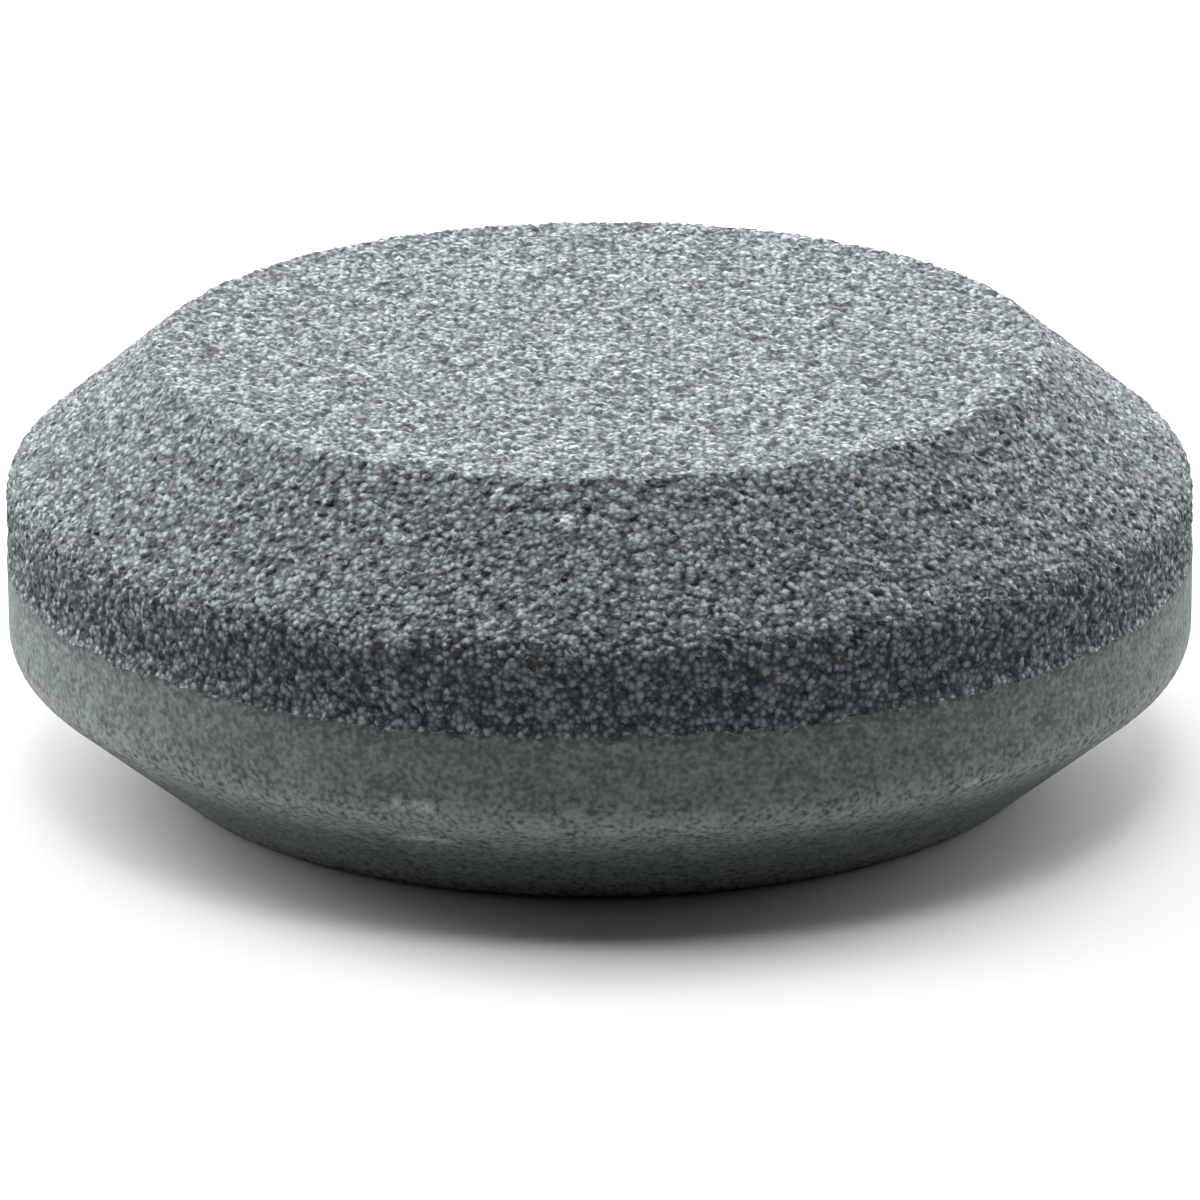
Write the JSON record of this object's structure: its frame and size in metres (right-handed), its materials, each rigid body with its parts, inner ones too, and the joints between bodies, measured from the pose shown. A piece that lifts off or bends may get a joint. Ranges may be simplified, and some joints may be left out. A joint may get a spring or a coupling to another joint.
{
  "type": "sharpening puck",
  "caption": "Round two-layer whetstone with wide bevels and rounded edges, coarse grit on one face and fine grit on the other, held in the palm to sharpen axes and carving tools.",
  "frame": {"origin": "centre of the fine grinding face, which is the face that the stone lies on", "axes": "+Z along the stone's axis, from the fine face to the coarse face; X and Y are equal, because the stone is a body of revolution"},
  "size_m": [0.0762, 0.0762, 0.0274],
  "materials": {
    "coarse_grit": "matte",
    "fine_grit": "matte"
  },
  "bodies": {
    "root": {"coarse_layer": "coarse_grit", "fine_layer": "fine_grit"}
  },
  "joints": []
}
